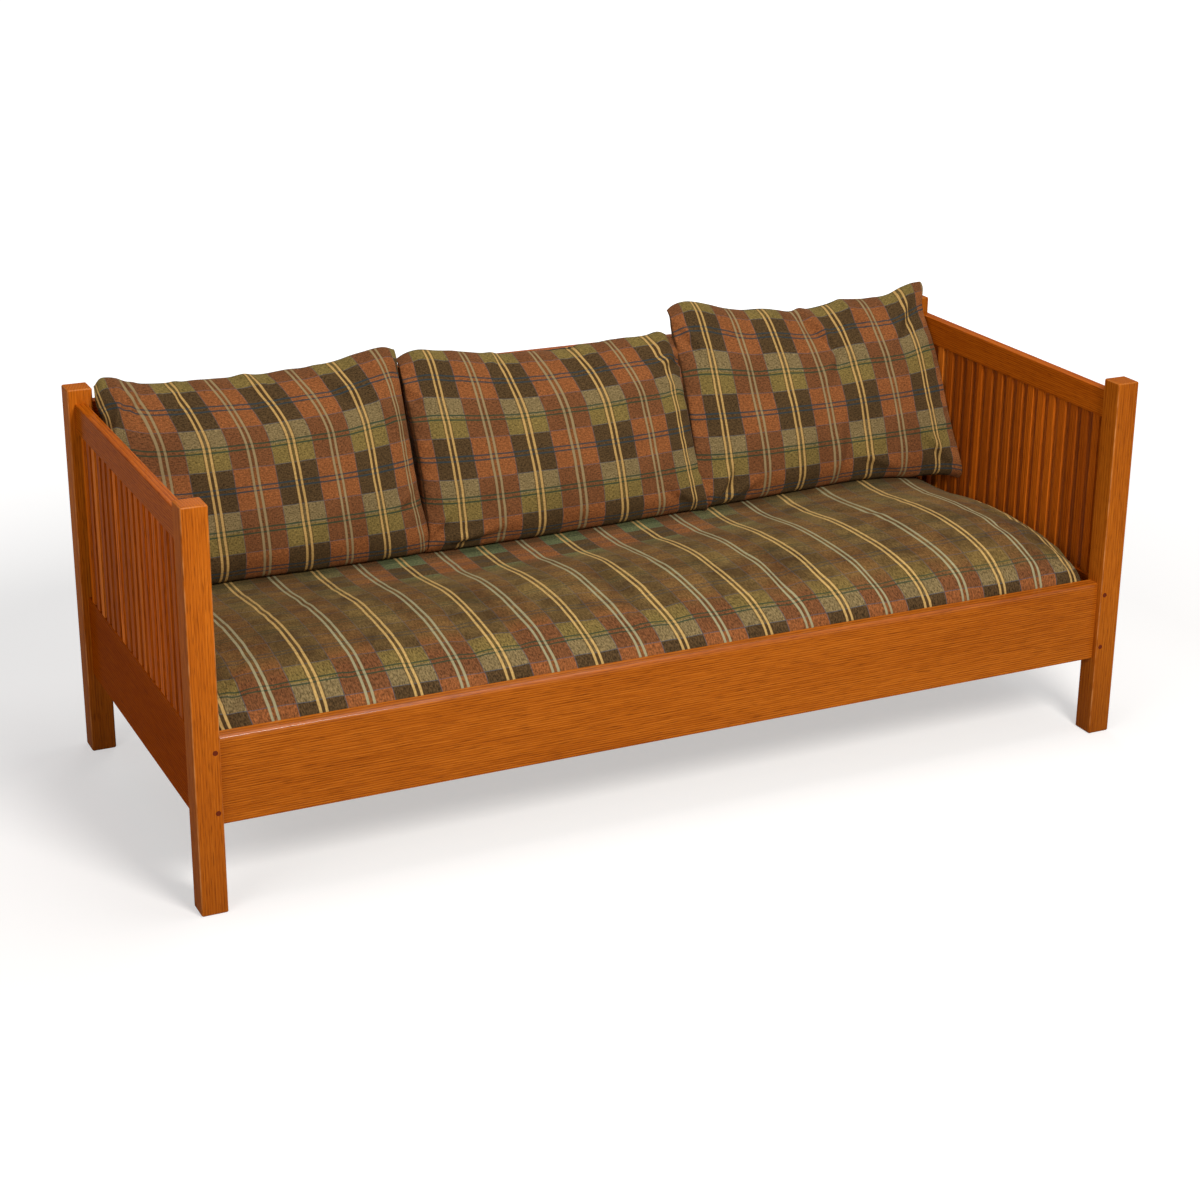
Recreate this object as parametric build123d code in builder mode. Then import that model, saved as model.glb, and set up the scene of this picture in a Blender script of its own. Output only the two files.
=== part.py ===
from build123d import *
import math
import os

# Mission settle in oak with a loose bench cushion and three loose back cushions
# Millimetres, +Z up, the front faces -Y, and the origin is on the floor under the middle

# The whole settle, measured over its corner posts
settle_width = 1930.0
settle_depth = 808.0

# Corner posts
post_height = 749.0
post_side = 48.0
post_edge_round = 3.0
post_top_round = 3.5
post_foot_chamfer = 2.5

# Rails, all set back from the outer faces of the posts by one step
rail_setback = 13.0
rail_edge_round = 2.0
top_rail_height = 56.0
top_rail_drop = 29.0
lower_rail_height = 164.0
lower_rail_floor_gap = 164.0
thin_rail_thickness = 22.0
long_rail_thickness = 28.0
front_rail_nose_round = 6.0

# Mortise and tenon joints between the rails and the posts
tenon_thickness = 10.0
tenon_shoulder = 10.0
long_tenon_length = 30.0
tenon_end_gap = 1.0

# Pegs that pin the tenons of the two long lower rails
peg_diameter = 9.5
peg_inset = 9.5
upper_peg_drop = 22.5
lower_peg_rise = 28.5
peg_past_tenon = 4.0
peg_proud = 0.3
peg_hole_clearance = 0.05

# Square spindles between the lower and upper rails
spindle_width = 20.5
spindle_thickness = 19.0
spindle_pitch = 37.7
spindle_edge_round = 1.2
spindle_tenon_length = 8.0
spindle_tenon_shoulder = 4.0
spindle_mortise_gap = 0.5

# Cleats and slats that carry the seat cushion
deck_drop = 78.0
cleat_height = 38.0
cleat_thickness = 25.0
cleat_end_gap = 1.5
cleat_edge_round = 1.5
cleat_screw_rise = 12.0
cleat_screw_count = 8
slat_count = 15
slat_width = 70.0
slat_thickness = 19.0
slat_end_gap = 1.5
slat_edge_round = 2.0

# Countersunk wood screws in the cleats and slats
screw_shank_diameter = 4.2
screw_head_diameter = 8.4
screw_head_angle = 90.0
screw_tip_length = 6.0
screw_hole_clearance = 0.1
slat_screw_length = 34.0
cleat_screw_length = 45.0

# Bench cushion, one long box cushion with a crowned top
cushion_clearance = 0.4
seat_end_gap = 2.0
seat_cushion_crown = 153.5
seat_corner_round = 14.0
seat_roll_depth = 66.0
seat_shelf_depth = 215.0
seat_back_round = 30.0
seat_end_inset = 30.0
seat_end_draw = 7.0

# Heights on the bench cushion's outline, as shares of its crown at that place
roll_start_share = 0.40
shelf_share = 0.84

# Rise of each arc over its chord, as a share of the chord
quarter_arc_share = (math.sqrt(2) - 1) / 2
seat_roll_arc_share = 0.20
seat_crown_arc_share = 0.054

# Places along half the bench cushion, its crown there and how far its ends draw in
seat_station_shares = (
    (-1.000, 0.58, 1.00),
    (-0.992, 0.74, 0.60),
    (-0.975, 0.86, 0.30),
    (-0.945, 0.94, 0.12),
    (-0.880, 0.99, 0.00),
    (-0.450, 1.00, 0.00),
    (0.330, 1.00, 0.00),
    (0.420, 1.06, 0.00),
    (0.500, 1.11, 0.00),
    (0.600, 1.14, 0.00),
    (0.800, 1.14, 0.00),
    (0.880, 1.08, 0.00),
    (0.945, 1.00, 0.12),
    (0.975, 0.90, 0.30),
    (0.992, 0.76, 0.60),
    (1.000, 0.60, 1.00),
)

# Back cushions, three alike, thick at the foot and leaning on the top rail
back_cushion_count = 3
back_cushion_gap = 0.8
back_cushion_rise = 20.5
back_cushion_depth = 205.0
back_cushion_side_draw = 11.0
back_cushion_corner_rise = 12.0

# Outline of a back cushion, depth forward of its rear plane and height, as shares
foot_rear_shares = (0.16, 0.0)
heel_shares = (0.0, 0.12)
nape_shares = (0.0, 0.92)
crest_shares = (0.10, 1.0)
brow_shares = (0.38, 0.87)
belly_shares = (1.0, 0.16)
foot_front_shares = (0.86, 0.0)
front_arc_share = 0.07
crest_arc_share = 0.10

# Side seam of a back cushion, the depth of its foot and of its top
seam_foot_share = 0.52
seam_top_share = 0.13

# Places along half a back cushion, and how full it is there
back_station_shares = (
    (-1.00, 0.20),
    (-0.90, 0.58),
    (-0.62, 0.90),
    (0.00, 1.00),
    (0.62, 0.90),
    (0.90, 0.58),
    (1.00, 0.20),
)

# Foam cores inside the cushion covers, with fibre wrap between core and cover
core_clearance = 0.4
seat_core_end_wrap = 62.0
seat_core_face_wrap = 28.0
seat_core_top_wrap = 44.0
seat_core_base_wrap = 12.0
seat_core_edge_round = 36.0
back_core_end_wrap = 82.0
back_core_face_wrap = 26.0
back_core_foot_wrap = 24.0
back_core_top_wrap = 62.0
back_core_foot_depth = 116.0
back_core_top_depth = 42.0
back_core_edge_round = 10.0

# Overrun that carries cuts past the faces they open
cut_overrun = 5.0

# Places worked out from the sizes above
post_x = (settle_width - post_side) / 2
post_y = (settle_depth - post_side) / 2
bay_x = post_x - post_side / 2
bay_y = post_y - post_side / 2
top_rail_top = post_height - top_rail_drop
top_rail_base = top_rail_top - top_rail_height
lower_rail_base = lower_rail_floor_gap
lower_rail_top = lower_rail_base + lower_rail_height
long_rail_y = settle_depth / 2 - rail_setback - long_rail_thickness / 2
long_rail_inner_y = long_rail_y - long_rail_thickness / 2
back_top_rail_y = settle_depth / 2 - rail_setback - thin_rail_thickness / 2
side_rail_x = settle_width / 2 - rail_setback - thin_rail_thickness / 2
side_tenon_length = long_rail_y - tenon_thickness / 2 - tenon_end_gap - bay_y
peg_x = bay_x + peg_inset
peg_heights = (lower_rail_top - upper_peg_drop, lower_rail_base + lower_peg_rise)
peg_length = peg_proud + settle_depth / 2 - long_rail_y + tenon_thickness / 2 + peg_past_tenon
spindle_tenon_width = spindle_width - 2 * spindle_tenon_shoulder
spindle_tenon_thickness = spindle_thickness - 2 * spindle_tenon_shoulder
spindle_mortise_depth = spindle_tenon_length + spindle_mortise_gap
deck_top = lower_rail_top - deck_drop
cleat_top = deck_top - slat_thickness
cleat_base = cleat_top - cleat_height
cleat_y = long_rail_inner_y - cleat_thickness / 2
cleat_inner_y = long_rail_inner_y - cleat_thickness
cleat_length = 2 * (bay_x - cleat_end_gap)
cleat_screw_z = cleat_base + cleat_screw_rise
cleat_screw_pitch = cleat_length / cleat_screw_count
slat_pitch = 2 * bay_x / slat_count
slat_length = 2 * (long_rail_inner_y - slat_end_gap)
seat_base = deck_top + cushion_clearance
seat_front_y = -(long_rail_inner_y - cushion_clearance)
seat_back_y = -seat_front_y
seat_end_x = bay_x - seat_end_gap
back_rear_y = back_top_rail_y - thin_rail_thickness / 2 - cushion_clearance
back_cushion_pitch = (2 * seat_end_x + back_cushion_gap) / back_cushion_count
back_cushion_width = back_cushion_pitch - back_cushion_gap
back_cushion_height = top_rail_top + back_cushion_rise - seat_base - shelf_share * seat_cushion_crown

# Every piece is written to its own file
os.makedirs("parts", exist_ok=True)


def save(piece, name):
    piece.label = name
    export_step(piece, f"parts/{name}.step")


def row(count, pitch):
    # Places along a line, evenly spaced about its middle
    return [(index - (count - 1) / 2) * pitch for index in range(count)]


def spindle_row(clear_length):
    # As many spindles as leave at least one gap at each end of the bay
    gap = spindle_pitch - spindle_width
    steps = int((clear_length - spindle_width - 2 * gap) / spindle_pitch)
    return row(steps + 1, spindle_pitch)


side_spindle_places = spindle_row(2 * bay_y)
back_spindle_places = spindle_row(2 * bay_x)
slat_places = row(slat_count, slat_pitch)
cleat_screw_places = row(cleat_screw_count, cleat_screw_pitch)


# Corner posts, each with mortises for the rails that meet it

def cut_x_mortise(side, y, base, height):
    # Mortise in the face that looks along the settle's length
    with BuildSketch(Plane.YZ.offset(side * bay_x)) as mouth:
        with Locations((y, base + height / 2)):
            Rectangle(tenon_thickness, height - 2 * tenon_shoulder)
    extrude(mouth.sketch, amount=side * (long_tenon_length + tenon_end_gap), mode=Mode.SUBTRACT)


def cut_y_mortise(side, end, base, height):
    # Mortise in the face that looks along the arm
    with BuildSketch(Plane.XZ.offset(-end * bay_y)) as mouth:
        with Locations((side * side_rail_x, base + height / 2)):
            Rectangle(tenon_thickness, height - 2 * tenon_shoulder)
    extrude(mouth.sketch, amount=-end * (side_tenon_length + tenon_end_gap), mode=Mode.SUBTRACT)


def drill_peg_holes(sides, end, depth):
    # Holes for the pegs at one end of the settle, drilled inward from the posts' outer faces
    spots = [(side * peg_x, height) for side in sides for height in peg_heights]
    with BuildSketch(Plane.XZ.offset(-end * settle_depth / 2)) as mouth:
        with Locations(*spots):
            Circle(peg_diameter / 2 + peg_hole_clearance)
    extrude(mouth.sketch, amount=end * depth, mode=Mode.SUBTRACT)


def make_post(side, end):
    with BuildPart() as post:
        with BuildSketch(Plane.XY):
            with Locations((side * post_x, end * post_y)):
                RectangleRounded(post_side, post_side, post_edge_round)
        extrude(amount=post_height)
        fillet(post.faces().sort_by(Axis.Z)[-1].edges(), post_top_round)
        chamfer(post.faces().sort_by(Axis.Z)[0].edges(), post_foot_chamfer)
        cut_x_mortise(side, end * long_rail_y, lower_rail_base, lower_rail_height)
        if end > 0:
            cut_x_mortise(side, back_top_rail_y, top_rail_base, top_rail_height)
        cut_y_mortise(side, end, lower_rail_base, lower_rail_height)
        cut_y_mortise(side, end, top_rail_base, top_rail_height)
        drill_peg_holes((side,), end, peg_length - peg_proud + peg_hole_clearance)
    return post.part


for side, side_name in ((-1, "left"), (1, "right")):
    for end, end_name in ((-1, "front"), (1, "back")):
        save(make_post(side, end), f"{end_name}_{side_name}_post")


# Rails that run along the settle's length, each with a tenon at both ends

def add_x_tenons(y, base, height):
    with BuildSketch(Plane.YZ.offset(-bay_x - long_tenon_length)) as tenon:
        with Locations((y, base + height / 2)):
            Rectangle(tenon_thickness, height - 2 * tenon_shoulder)
    extrude(tenon.sketch, amount=2 * (bay_x + long_tenon_length))


def add_x_board(y, base, thickness, height):
    with BuildSketch(Plane.YZ.offset(-bay_x)) as board:
        with Locations((y, base + height / 2)):
            RectangleRounded(thickness, height, rail_edge_round)
    extrude(board.sketch, amount=2 * bay_x)


def cut_x_row_of_mortises(z, direction):
    # One mortise for each back spindle, cut up or down into a rail
    with BuildSketch(Plane.XY.offset(z)) as mouths:
        with Locations(*[(place, back_top_rail_y) for place in back_spindle_places]):
            Rectangle(spindle_tenon_width, spindle_tenon_thickness)
    extrude(mouths.sketch, amount=direction * spindle_mortise_depth, mode=Mode.SUBTRACT)


def drill_cleat_pilot_holes(end):
    # Pilot holes for the screws that hold a cleat to the inside of a long rail
    with BuildSketch(Plane.XZ.offset(-end * long_rail_inner_y)) as mouths:
        with Locations(*[(place, cleat_screw_z) for place in cleat_screw_places]):
            Circle(screw_shank_diameter / 2 + screw_hole_clearance)
    depth = cleat_screw_length - cleat_thickness + screw_hole_clearance
    extrude(mouths.sketch, amount=-end * depth, mode=Mode.SUBTRACT)


with BuildPart() as front_rail:
    # The upper outer edge has a fuller nose than the other three
    with BuildSketch(Plane.YZ.offset(-bay_x)) as front_profile:
        with Locations((-long_rail_y, lower_rail_base + lower_rail_height / 2)):
            Rectangle(long_rail_thickness, lower_rail_height)
        fillet(front_profile.vertices().group_by(Axis.Y)[0], rail_edge_round)
        fillet(front_profile.vertices().group_by(Axis.Y)[-1].sort_by(Axis.X)[-1], rail_edge_round)
        fillet(front_profile.vertices().group_by(Axis.Y)[-1].sort_by(Axis.X)[0], front_rail_nose_round)
    extrude(amount=2 * bay_x)
    add_x_tenons(-long_rail_y, lower_rail_base, lower_rail_height)
    drill_peg_holes((-1, 1), -1, settle_depth / 2)
    drill_cleat_pilot_holes(-1)
save(front_rail.part, "front_rail")

with BuildPart() as back_lower_rail:
    add_x_board(long_rail_y, lower_rail_base, long_rail_thickness, lower_rail_height)
    add_x_tenons(long_rail_y, lower_rail_base, lower_rail_height)
    drill_peg_holes((-1, 1), 1, settle_depth / 2)
    drill_cleat_pilot_holes(1)
    cut_x_row_of_mortises(lower_rail_top, -1)
save(back_lower_rail.part, "back_lower_rail")

with BuildPart() as back_top_rail:
    add_x_board(back_top_rail_y, top_rail_base, thin_rail_thickness, top_rail_height)
    add_x_tenons(back_top_rail_y, top_rail_base, top_rail_height)
    cut_x_row_of_mortises(top_rail_base, 1)
save(back_top_rail.part, "back_top_rail")


# Rails of the two arms, each with a short tenon at both ends

def make_side_rail(side, base, height, mortise_z, direction):
    x = side * side_rail_x
    with BuildPart() as rail:
        with BuildSketch(Plane.XZ.offset(bay_y)) as board:
            with Locations((x, base + height / 2)):
                RectangleRounded(thin_rail_thickness, height, rail_edge_round)
        extrude(board.sketch, amount=-2 * bay_y)
        with BuildSketch(Plane.XZ.offset(bay_y + side_tenon_length)) as tenon:
            with Locations((x, base + height / 2)):
                Rectangle(tenon_thickness, height - 2 * tenon_shoulder)
        extrude(tenon.sketch, amount=-2 * (bay_y + side_tenon_length))
        with BuildSketch(Plane.XY.offset(mortise_z)) as mouths:
            with Locations(*[(x, place) for place in side_spindle_places]):
                Rectangle(spindle_tenon_thickness, spindle_tenon_width)
        extrude(mouths.sketch, amount=direction * spindle_mortise_depth, mode=Mode.SUBTRACT)
    return rail.part


for side, side_name in ((-1, "left"), (1, "right")):
    lower_rail = make_side_rail(side, lower_rail_base, lower_rail_height, lower_rail_top, -1)
    save(lower_rail, f"{side_name}_lower_rail")
    arm_rail = make_side_rail(side, top_rail_base, top_rail_height, top_rail_base, 1)
    save(arm_rail, f"{side_name}_arm_rail")


# Spindles, each a square bar with a stub tenon at both ends

def make_spindles(spots, x_size, y_size, x_tenon, y_tenon):
    with BuildPart() as spindles:
        with BuildSketch(Plane.XY.offset(lower_rail_top)):
            with Locations(*spots):
                RectangleRounded(x_size, y_size, spindle_edge_round)
        extrude(amount=top_rail_base - lower_rail_top)
        with BuildSketch(Plane.XY.offset(lower_rail_top - spindle_tenon_length)):
            with Locations(*spots):
                Rectangle(x_tenon, y_tenon)
        extrude(amount=top_rail_base - lower_rail_top + 2 * spindle_tenon_length)
    return spindles.part


for side, side_name in ((-1, "left"), (1, "right")):
    side_spots = [(side * side_rail_x, place) for place in side_spindle_places]
    side_sizes = (spindle_thickness, spindle_width, spindle_tenon_thickness, spindle_tenon_width)
    save(make_spindles(side_spots, *side_sizes), f"{side_name}_spindles")

back_spots = [(place, back_top_rail_y) for place in back_spindle_places]
back_sizes = (spindle_width, spindle_thickness, spindle_tenon_width, spindle_tenon_thickness)
save(make_spindles(back_spots, *back_sizes), "back_spindles")


# Pegs driven through the posts and the tenons of the two long lower rails

def make_pegs(end):
    spots = [(side * peg_x, height) for side in (-1, 1) for height in peg_heights]
    with BuildPart() as pegs:
        with BuildSketch(Plane.XZ.offset(-end * (settle_depth / 2 + peg_proud))) as ends:
            with Locations(*spots):
                Circle(peg_diameter / 2)
        extrude(ends.sketch, amount=end * peg_length)
    return pegs.part


save(make_pegs(-1), "front_pegs")
save(make_pegs(1), "back_pegs")


# Countersunk wood screw, its head flush with z = 0 and its shank pointing down

def make_screw(length):
    overhang = (screw_head_diameter - screw_shank_diameter) / 2
    head_drop = overhang / math.tan(math.radians(screw_head_angle / 2))
    with BuildPart() as screw:
        with BuildSketch(Plane.XZ):
            with BuildLine():
                Polyline(
                    (0, 0),
                    (screw_head_diameter / 2, 0),
                    (screw_shank_diameter / 2, -head_drop),
                    (screw_shank_diameter / 2, screw_tip_length - length),
                    (0, -length),
                    close=True,
                )
            make_face()
        revolve(axis=Axis.Z)
    return screw.part


def cut_screw_seats(spots):
    # Countersunk holes through the piece that a screw holds down
    with Locations(*spots):
        CounterSinkHole(
            screw_shank_diameter / 2 + screw_hole_clearance,
            screw_head_diameter / 2 + screw_hole_clearance,
            counter_sink_angle=screw_head_angle,
        )


# Cleats screwed to the inner faces of the front and back rails

def make_cleat(end):
    with BuildPart() as cleat:
        with BuildSketch(Plane.YZ.offset(-cleat_length / 2)) as bar:
            with Locations((end * cleat_y, cleat_base + cleat_height / 2)):
                RectangleRounded(cleat_thickness, cleat_height, cleat_edge_round)
        extrude(bar.sketch, amount=cleat_length)
        face = Plane(origin=(0, end * cleat_inner_y, 0), x_dir=(1, 0, 0), z_dir=(0, -end, 0))
        cut_screw_seats([face * Location((place, end * cleat_screw_z)) for place in cleat_screw_places])
        with BuildSketch(Plane.XY.offset(cleat_top)) as pilots:
            with Locations(*[(place, end * cleat_y) for place in slat_places]):
                Circle(screw_shank_diameter / 2 + screw_hole_clearance)
        depth = slat_screw_length - slat_thickness + screw_hole_clearance
        extrude(pilots.sketch, amount=-depth, mode=Mode.SUBTRACT)
    return cleat.part


save(make_cleat(-1), "front_cleat")
save(make_cleat(1), "back_cleat")

cleat_screw = make_screw(cleat_screw_length)
with BuildPart() as cleat_screws:
    for end in (-1, 1):
        face = Plane(origin=(0, end * cleat_inner_y, 0), x_dir=(1, 0, 0), z_dir=(0, -end, 0))
        with Locations(*[face * Location((place, end * cleat_screw_z)) for place in cleat_screw_places]):
            add(cleat_screw)
save(cleat_screws.part, "cleat_screws")


# Slats laid across the cleats from front to back, one screw at each end

def make_slat(place):
    with BuildPart() as slat:
        with BuildSketch(Plane.XZ.offset(slat_length / 2)) as bar:
            with Locations((place, deck_top - slat_thickness / 2)):
                RectangleRounded(slat_width, slat_thickness, slat_edge_round)
        extrude(bar.sketch, amount=-slat_length)
        cut_screw_seats([Location((place, end * cleat_y, deck_top)) for end in (-1, 1)])
    return slat.part


for number, place in enumerate(slat_places, start=1):
    save(make_slat(place), f"seat_slat_{number:02d}")

slat_screw = make_screw(slat_screw_length)
with BuildPart() as slat_screws:
    with Locations(*[(place, end * cleat_y, deck_top) for place in slat_places for end in (-1, 1)]):
        add(slat_screw)
save(slat_screws.part, "slat_screws")


# Cushions are lofted end to end through upright outlines

def swell(start, end, share):
    # Arc that bulges outward when the outline runs anticlockwise
    SagittaArc(start, end, -share * math.dist(start, end))


def seat_outline(crown, inset):
    # Flat base and back, a shelf under the back cushions, the crown and the front roll
    front = seat_front_y + inset
    back = seat_back_y - inset
    base = seat_base
    roll_start = base + roll_start_share * crown
    shelf = base + shelf_share * crown
    corner = seat_corner_round
    Line((front + corner, base), (back - corner, base))
    swell((back - corner, base), (back, base + corner), quarter_arc_share)
    Line((back, base + corner), (back, shelf - seat_back_round))
    swell((back, shelf - seat_back_round), (back - seat_back_round, shelf), quarter_arc_share)
    Line((back - seat_back_round, shelf), (back - seat_shelf_depth, shelf))
    swell((back - seat_shelf_depth, shelf), (front + seat_roll_depth, shelf), seat_crown_arc_share)
    swell((front + seat_roll_depth, shelf), (front, roll_start), seat_roll_arc_share)
    Line((front, roll_start), (front, base + corner))
    swell((front, base + corner), (front + corner, base), quarter_arc_share)


def add_seat_core(grow, mode):
    # Foam block with its upper long edges rounded, grown a little where it cuts its own space
    half_depth = seat_back_y - seat_core_face_wrap + grow
    base = seat_base + seat_core_base_wrap - grow
    top = seat_base + seat_cushion_crown - seat_core_top_wrap + grow
    half_length = seat_end_x - seat_core_end_wrap + grow
    with BuildSketch(Plane.YZ.offset(-half_length)) as block:
        with Locations((0, (base + top) / 2)):
            Rectangle(2 * half_depth, top - base)
        fillet(block.vertices().group_by(Axis.Y)[-1], seat_core_edge_round)
    extrude(block.sketch, amount=2 * half_length, mode=mode)


with BuildPart() as seat_cushion_cover:
    for place_share, crown_share, inset_share in seat_station_shares:
        with BuildSketch(Plane.YZ.offset(place_share * seat_end_x)):
            with BuildLine():
                seat_outline(crown_share * seat_cushion_crown, inset_share * seat_end_inset)
            make_face()
    loft(ruled=True)
    # The ends draw in between the corners
    for side in (-1, 1):
        with BuildSketch(Plane.XY.offset(seat_base - cut_overrun)):
            with BuildLine():
                far = side * (seat_end_x + cut_overrun)
                near = side * seat_end_x
                draw = side * seat_end_draw
                Line((far, seat_front_y), (far, seat_back_y))
                Line((far, seat_back_y), (near, seat_back_y))
                ThreePointArc((near, seat_back_y), (near - draw, 0), (near, seat_front_y))
                Line((near, seat_front_y), (far, seat_front_y))
            make_face()
        extrude(amount=2 * seat_cushion_crown, mode=Mode.SUBTRACT)
    add_seat_core(core_clearance, Mode.SUBTRACT)
save(seat_cushion_cover.part, "seat_cushion_cover")

with BuildPart() as seat_cushion_core:
    add_seat_core(0, Mode.ADD)
save(seat_cushion_core.part, "seat_cushion_core")


# Back cushions stand on the shelf of the bench cushion and lean on the back

def crown_share_at(place_share):
    # Crown of the bench cushion between two of its listed places
    for near, far in zip(seat_station_shares, seat_station_shares[1:]):
        if near[0] <= place_share <= far[0]:
            way = (place_share - near[0]) / (far[0] - near[0])
            return near[1] + way * (far[1] - near[1])
    return 0


def shelf_under(low_x, high_x):
    # Highest shelf of the bench cushion between two places along the settle
    low_share = low_x / seat_end_x
    high_share = high_x / seat_end_x
    crown_shares = [crown_share_at(low_share), crown_share_at(high_share)]
    for place_share, crown_share, inset_share in seat_station_shares:
        if low_share <= place_share <= high_share:
            crown_shares.append(crown_share)
    return seat_base + shelf_share * max(crown_shares) * seat_cushion_crown


def lean_point(shares, base, fullness):
    # A point of the outline, drawn towards the side seam where the cushion is thin
    depth_share, height_share = shares
    seam_share = seam_foot_share + (seam_top_share - seam_foot_share) * height_share
    depth_share = seam_share + fullness * (depth_share - seam_share)
    height = back_cushion_height + (1 - fullness) * back_cushion_corner_rise
    return (back_rear_y - depth_share * back_cushion_depth, base + height_share * height)


def back_outline(base, fullness):
    # Anticlockwise from the foot: base, rear face, crest, leaning front and belly
    foot_rear = lean_point(foot_rear_shares, base, fullness)
    heel = lean_point(heel_shares, base, fullness)
    nape = lean_point(nape_shares, base, fullness)
    crest = lean_point(crest_shares, base, fullness)
    brow = lean_point(brow_shares, base, fullness)
    belly = lean_point(belly_shares, base, fullness)
    foot_front = lean_point(foot_front_shares, base, fullness)
    Line(foot_front, foot_rear)
    swell(foot_rear, heel, crest_arc_share)
    Line(heel, nape)
    swell(nape, crest, crest_arc_share)
    swell(crest, brow, crest_arc_share)
    swell(brow, belly, front_arc_share)
    swell(belly, foot_front, crest_arc_share)


def add_back_core(middle, base, grow, mode):
    # Wedge of foam, thick at the foot, grown a little where it cuts its own space
    rear = back_rear_y - back_core_face_wrap + grow
    foot = base + back_core_foot_wrap - grow
    top = base + back_cushion_height - back_core_top_wrap + grow
    half_length = back_cushion_width / 2 - back_core_end_wrap + grow
    with BuildSketch(Plane.YZ.offset(middle - half_length)) as block:
        with BuildLine():
            Polyline(
                (rear - back_core_foot_depth - 2 * grow, foot),
                (rear, foot),
                (rear, top),
                (rear - back_core_top_depth - 2 * grow, top),
                close=True,
            )
        make_face()
        fillet(block.vertices(), back_core_edge_round)
    extrude(block.sketch, amount=2 * half_length, mode=mode)


def make_back_cover(middle, base):
    half_width = back_cushion_width / 2
    top = base + back_cushion_height + back_cushion_corner_rise
    with BuildPart() as cover:
        for place_share, fullness in back_station_shares:
            with BuildSketch(Plane.YZ.offset(middle + place_share * half_width)):
                with BuildLine():
                    back_outline(base, fullness)
                make_face()
        loft()
        # The sides draw in between the corners
        for side in (-1, 1):
            with BuildSketch(Plane.XZ.offset(-back_rear_y - cut_overrun)):
                with BuildLine():
                    far = middle + side * (half_width + cut_overrun)
                    near = middle + side * half_width
                    draw = side * back_cushion_side_draw
                    Line((far, base), (far, top))
                    Line((far, top), (near, top))
                    ThreePointArc((near, top), (near - draw, (base + top) / 2), (near, base))
                    Line((near, base), (far, base))
                make_face()
            extrude(amount=back_cushion_depth + 2 * cut_overrun, mode=Mode.SUBTRACT)
        add_back_core(middle, base, core_clearance, Mode.SUBTRACT)
    return cover.part


def make_back_core(middle, base):
    with BuildPart() as core:
        add_back_core(middle, base, 0, Mode.ADD)
    return core.part


for name, middle in zip(("left", "middle", "right"), row(back_cushion_count, back_cushion_pitch)):
    shelf = shelf_under(middle - back_cushion_pitch / 2, middle + back_cushion_pitch / 2)
    base = shelf + cushion_clearance
    save(make_back_cover(middle, base), f"{name}_back_cushion_cover")
    save(make_back_core(middle, base), f"{name}_back_cushion_core")
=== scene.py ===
import math

import bmesh
import bpy
import numpy as np
from mathutils import Matrix, Vector, noise


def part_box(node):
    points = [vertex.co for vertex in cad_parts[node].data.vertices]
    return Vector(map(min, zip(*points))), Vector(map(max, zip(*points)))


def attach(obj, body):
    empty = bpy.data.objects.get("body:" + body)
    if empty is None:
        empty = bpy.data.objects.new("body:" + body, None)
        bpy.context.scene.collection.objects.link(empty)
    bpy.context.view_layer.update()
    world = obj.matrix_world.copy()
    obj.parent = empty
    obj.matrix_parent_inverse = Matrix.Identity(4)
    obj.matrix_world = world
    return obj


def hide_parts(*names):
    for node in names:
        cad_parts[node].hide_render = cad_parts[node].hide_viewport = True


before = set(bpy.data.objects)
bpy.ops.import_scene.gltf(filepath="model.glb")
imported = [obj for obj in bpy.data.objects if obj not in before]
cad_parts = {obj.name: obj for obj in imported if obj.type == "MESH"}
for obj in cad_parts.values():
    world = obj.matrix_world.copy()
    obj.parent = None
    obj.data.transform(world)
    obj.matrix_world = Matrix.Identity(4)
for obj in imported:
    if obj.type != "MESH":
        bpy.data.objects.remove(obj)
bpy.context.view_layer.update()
bpy.ops.object.select_all(action="DESELECT")


# Corner posts. Four square oak posts with the grain upright, their edges eased with a
# plane and sandpaper, stained amber and rubbed down to a satin varnish.

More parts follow.
